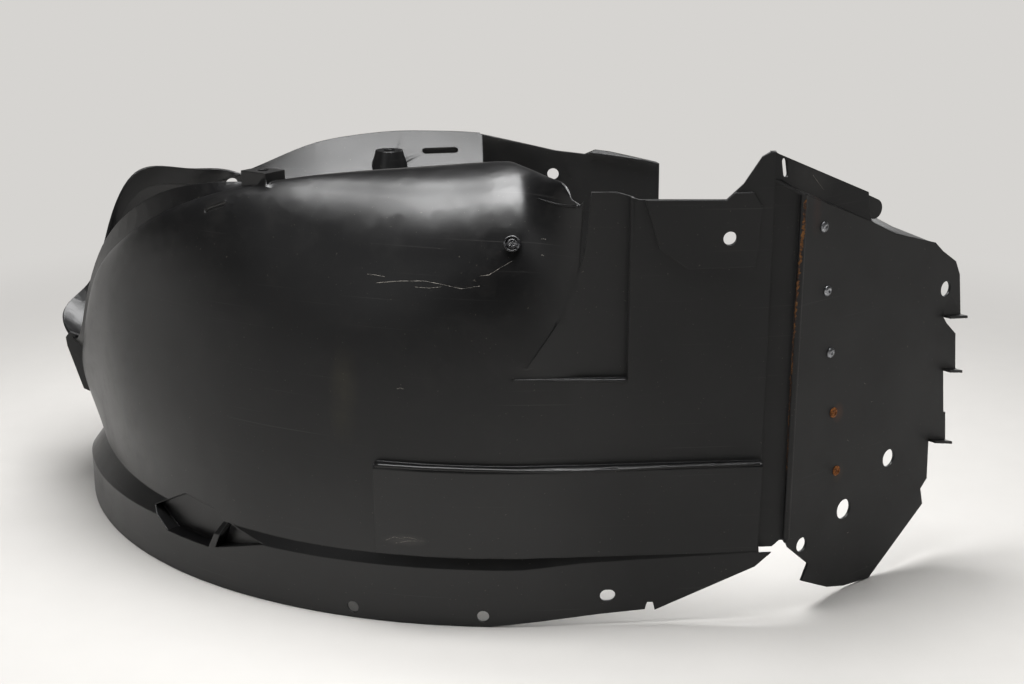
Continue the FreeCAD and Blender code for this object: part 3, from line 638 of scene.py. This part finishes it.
bpy.ops.object.shade_smooth_by_angle(angle=FLANGE_SMOOTH)
flange.data.materials.append(plastic)
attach(flange, "root")

# Scratches: pale lines and nicks where the skin has been cut and the plastic has turned up whitish.
# Each is a thin ridge of torn plastic that lies on the sheet.
SCRATCHES = (
    ((367, 274), (376, 275), (386, 277)),
    ((376, 283), (400, 281), (424, 281), (445, 285), (462, 289), (480, 286)),
    ((480, 276), (489, 275), (500, 268), (512, 261)),
    ((415, 287), (428, 288), (441, 287)),
    ((397, 389), (400, 388), (404, 389)),
    ((386, 540), (394, 537), (404, 539)),
    ((396, 543), (408, 541), (424, 541)),
    ((402, 537), (411, 538), (418, 540)),
    ((813, 175), (818, 182), (824, 190)),
    ((541, 239), (544, 239), (547, 240)),
    ((542, 255), (544, 256)),
    ((864, 383), (866, 384)),
    ((871, 402), (873, 401)),
    ((847, 440), (849, 441)),
    ((847, 533), (849, 532)),
)
SCRATCH_THICK = 0.00042
SCRATCH_THIN = 0.00018
POINTS_PER_PIXEL = 5
scratches = []
for number, pixels in enumerate(SCRATCHES):
    count = POINTS_PER_PIXEL * len(pixels)
    name = "scratch_" + str(number + 1)
    scratches.append(laid_line(name, pixels, count, SCRATCH_THICK, SCRATCH_THIN, wander=0.3, sink=0.6))
# Stress-whitened polypropylene: matt and grey where the skin is torn, with darker breaks.
TEAR_MM = 3
torn = bpy.data.materials.new("stress_whitened_polypropylene")
torn.use_nodes = True
tree = torn.node_tree
skin = tree.nodes["Principled BSDF"]
place = add_node(tree, "ShaderNodeTexCoord").outputs["Object"]
tear = add_node(tree, "ShaderNodeTexNoise", {"Scale": 1000 / TEAR_MM, "Detail": 3}, {"Vector": place})
tone = add_node(
    tree, "ShaderNodeMix", {"data_type": "RGBA", 6: linear("#2a2928"), 7: linear("#9a958c")},
    {0: tear.outputs["Fac"]},
)
tree.links.new(tone.outputs[2], skin.inputs["Base Color"])
matt = add_node(
    tree, "ShaderNodeMapRange", {"From Min": 0.3, "From Max": 0.7, "To Min": 0.5, "To Max": 0.8},
    {"Value": tear.outputs["Fac"]},
)
tree.links.new(matt.outputs["Result"], skin.inputs["Roughness"])
for piece in scratches:
    piece.data.materials.append(torn)

# Studio floor: a wide pale sheet of matt paper that the part lies on and that takes its shadow.
# Far from the part it is as pale as the air behind it, so that no line shows where they meet.
PALE = "#d6d4d1"
FLOOR_SIZE = 60
FLOOR_DROP = 0.0005
NEAR = 0.65
FAR = 1.5
FIBRE_MM = 40
bpy.ops.object.select_all(action="DESELECT")
bpy.ops.mesh.primitive_plane_add(size=FLOOR_SIZE, location=(0, 0, -FLOOR_DROP))
floor = bpy.context.object
floor.name = "studio_floor"
bpy.ops.object.transform_apply(location=True, rotation=True, scale=True)
paper = bpy.data.materials.new("pale_studio_paper")
paper.use_nodes = True
tree = paper.node_tree
skin = tree.nodes["Principled BSDF"]
skin.inputs["Roughness"].default_value = 0.95
skin.inputs["Specular IOR Level"].default_value = 0.1
place = add_node(tree, "ShaderNodeTexCoord").outputs["Object"]
fibre = add_node(tree, "ShaderNodeTexNoise", {"Scale": 1000 / FIBRE_MM, "Detail": 3}, {"Vector": place})
tone = add_node(
    tree, "ShaderNodeMix", {"data_type": "RGBA", 6: linear("#c4c2bf"), 7: linear("#c8c6c3")},
    {0: fibre.outputs["Fac"]},
)
tree.links.new(tone.outputs[2], skin.inputs["Base Color"])


def seen_rays(tree):
    """One for the rays of the camera and of reflections, and nothing for the rest."""
    path = add_node(tree, "ShaderNodeLightPath")
    mirrored = add_node(
        tree, "ShaderNodeMath", {"operation": "ADD"},
        {0: path.outputs["Is Camera Ray"], 1: path.outputs["Is Glossy Ray"]},
    )
    seen = add_node(
        tree, "ShaderNodeMath", {"operation": "ADD", "use_clamp": True},
        {0: mirrored.outputs["Value"], 1: path.outputs["Is Transmission Ray"]},
    )
    return seen.outputs["Value"]


reach = add_node(tree, "ShaderNodeVectorMath", {"operation": "LENGTH"}, {0: place})
away = add_node(
    tree, "ShaderNodeMapRange", {"interpolation_type": "SMOOTHSTEP", "From Min": NEAR, "From Max": FAR},
    {"Value": reach.outputs["Value"]},
)
share = add_node(
    tree, "ShaderNodeMath", {"operation": "MULTIPLY"}, {0: away.outputs["Result"], 1: seen_rays(tree)},
)
glow = add_node(tree, "ShaderNodeEmission", {"Color": linear(PALE), "Strength": 1})
sheet = add_node(
    tree, "ShaderNodeMixShader", None,
    {0: share.outputs["Value"], 1: skin.outputs["BSDF"], 2: glow.outputs["Emission"]},
)
tree.links.new(sheet.outputs["Shader"], tree.nodes["Material Output"].inputs["Surface"])
floor.data.materials.append(paper)

# Studio light: a softbox over the shoulder, another over the far web and weak fills before and behind.
# Each lamp has its stand, the point it is aimed at, its two sides in metres and its power in watts.
LAMPS = (
    ("shoulder_softbox", (-0.05, -0.28, 1.6), (-0.05, -0.28, 0), (1.2, 0.6), 38),
    ("web_softbox", (-0.05, 0.3, 1.6), (-0.05, 0.3, 0), (0.9, 0.28), 13),
    ("front_fill", (-2.0, -2.2, 1.7), (0, 0, 0.2), (1.4, 1.4), 4),
    ("back_fill", (1.4, 2.4, 1.6), (0, 0, 0.2), (1.4, 1.4), 14),
)
for lamp_name, stand, aim, size, power in LAMPS:
    bpy.ops.object.light_add(type="AREA", location=stand)
    lamp = bpy.context.object
    lamp.name = lamp_name
    lamp.rotation_euler = (Vector(aim) - Vector(stand)).to_track_quat("-Z", "Y").to_euler()
    lamp.data.shape = "RECTANGLE"
    lamp.data.size = size[0]
    lamp.data.size_y = size[1]
    lamp.data.energy = power

# Studio air: pale walls all round, up to a little above eye level.
# The ceiling is dim, which keeps the blacks deep.
WALL_TOP = 0.02
CEILING_FROM = 0.22
CEILING = 0.06
DIM_AIR = 0.16
world = bpy.data.worlds.new("studio_air")
bpy.context.scene.world = world
world.use_nodes = True
tree = world.node_tree
air = tree.nodes["Background"]
air.inputs["Color"].default_value = linear(PALE)
way = add_node(tree, "ShaderNodeTexCoord").outputs["Generated"]
height = add_node(tree, "ShaderNodeSeparateXYZ", None, {"Vector": way})
wall = add_node(
    tree, "ShaderNodeMapRange",
    {"From Min": WALL_TOP, "From Max": CEILING_FROM, "To Min": 1, "To Max": CEILING},
    {"Value": height.outputs["Z"]},
)
level = add_node(
    tree, "ShaderNodeMix", {"data_type": "FLOAT", 2: DIM_AIR},
    {0: seen_rays(tree), 3: wall.outputs["Result"]},
)
tree.links.new(level.outputs[0], air.inputs["Strength"])
bpy.context.scene.view_settings.view_transform = "Standard"
